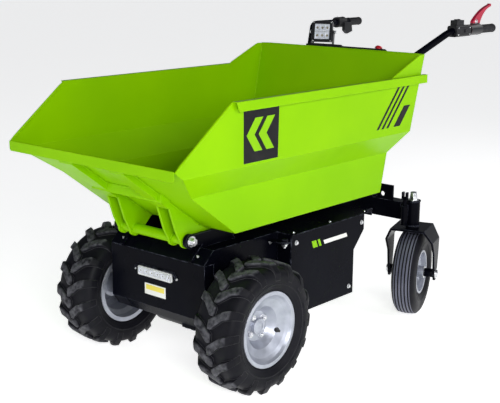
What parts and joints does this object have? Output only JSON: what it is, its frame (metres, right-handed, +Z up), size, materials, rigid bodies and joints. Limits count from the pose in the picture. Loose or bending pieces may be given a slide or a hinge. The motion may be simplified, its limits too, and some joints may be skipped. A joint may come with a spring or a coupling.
{
  "type": "walk-behind electric site dumper with tipping skip",
  "caption": "Walk-behind electric mini dumper: steel tipping skip on a low battery chassis with lugged drive wheels, rear casters, handlebar and lamps.",
  "frame": {"origin": "on the ground under the middle of the machine's length and width", "axes": "+X forward over the tipping lip, +Y to the machine's left, +Z up"},
  "size_m": [1.757, 0.774, 1.1165],
  "materials": {
    "green_paint": "gloss",
    "black_paint": "satin",
    "axle_paint": "satin",
    "zinc_steel": "satin",
    "silver_rim": "gloss",
    "tyre": "matte",
    "rubber": "matte",
    "black_plastic": "satin",
    "battery_case": "matte",
    "red_lever": "gloss",
    "red_button": "gloss",
    "lamp_metal": "satin",
    "lens": "gloss"
  },
  "bodies": {
    "chassis": {"chassis_rails": "black_paint", "pivot_cheeks": "black_paint", "pivot_pins": "zinc_steel", "front_panel": "black_paint", "front_cover": "black_paint", "side_cover_left": "black_paint", "side_cover_right": "black_paint", "battery_tray": "black_paint", "battery_lid": "black_paint", "battery_pack": "battery_case", "drive_axle": "axle_paint", "rear_beam": "black_paint", "lock_pins": "black_paint", "latch_brackets": "black_paint", "rest_pads": "rubber", "handlebar": "black_paint", "grip_left": "rubber", "grip_right": "rubber", "switch_box": "black_plastic", "brake_lever": "red_lever", "throttle": "black_plastic", "control_box": "black_plastic", "emergency_stop": "red_button", "work_lamp": "lamp_metal", "lamp_bracket": "lamp_metal", "led_bar": "lens"},
    "skip": {"skip_floor": "green_paint", "skip_side_left": "green_paint", "skip_side_right": "green_paint", "skip_rear_wall": "green_paint", "skip_ribs": "green_paint"},
    "front_wheel_left": {"front_tyre_left": "tyre", "front_rim_left": "silver_rim"},
    "caster_left": {"caster_fork_left": "black_paint", "caster_nut_left": "zinc_steel", "caster_axle_left": "zinc_steel"},
    "caster_wheel_left": {"caster_tyre_left": "tyre", "caster_rim_left": "silver_rim"},
    "front_wheel_right": {"front_tyre_right": "tyre", "front_rim_right": "silver_rim"},
    "caster_right": {"caster_fork_right": "black_paint", "caster_nut_right": "zinc_steel", "caster_axle_right": "zinc_steel"},
    "caster_wheel_right": {"caster_tyre_right": "tyre", "caster_rim_right": "silver_rim"}
  },
  "joints": [
    {"name": "skip_tip", "type": "hinge", "parent": "chassis", "child": "skip", "pos_m": [0.6145, 0, 0.458], "axis": [0, 1, 0], "range_deg": [0, 80]},
    {"name": "front_wheel_left", "type": "hinge", "parent": "chassis", "child": "front_wheel_left", "pos_m": [0.5045, 0.308, 0.205], "axis": [0, 1, 0], "continuous": true},
    {"name": "caster_swivel_left", "type": "hinge", "parent": "chassis", "child": "caster_left", "pos_m": [-0.4065, 0.284, 0.34], "axis": [0, 0, 1], "continuous": true},
    {"name": "caster_roll_left", "type": "hinge", "parent": "caster_left", "child": "caster_wheel_left", "pos_m": [-0.43028, 0.27627, 0.158], "axis": [-0.309, 0.9511, 0], "continuous": true},
    {"name": "front_wheel_right", "type": "hinge", "parent": "chassis", "child": "front_wheel_right", "pos_m": [0.5045, -0.308, 0.205], "axis": [0, 1, 0], "continuous": true},
    {"name": "caster_swivel_right", "type": "hinge", "parent": "chassis", "child": "caster_right", "pos_m": [-0.4065, -0.284, 0.34], "axis": [0, 0, 1], "continuous": true},
    {"name": "caster_roll_right", "type": "hinge", "parent": "caster_right", "child": "caster_wheel_right", "pos_m": [-0.43028, -0.29173, 0.158], "axis": [-0.309, 0.9511, 0], "continuous": true}
  ]
}
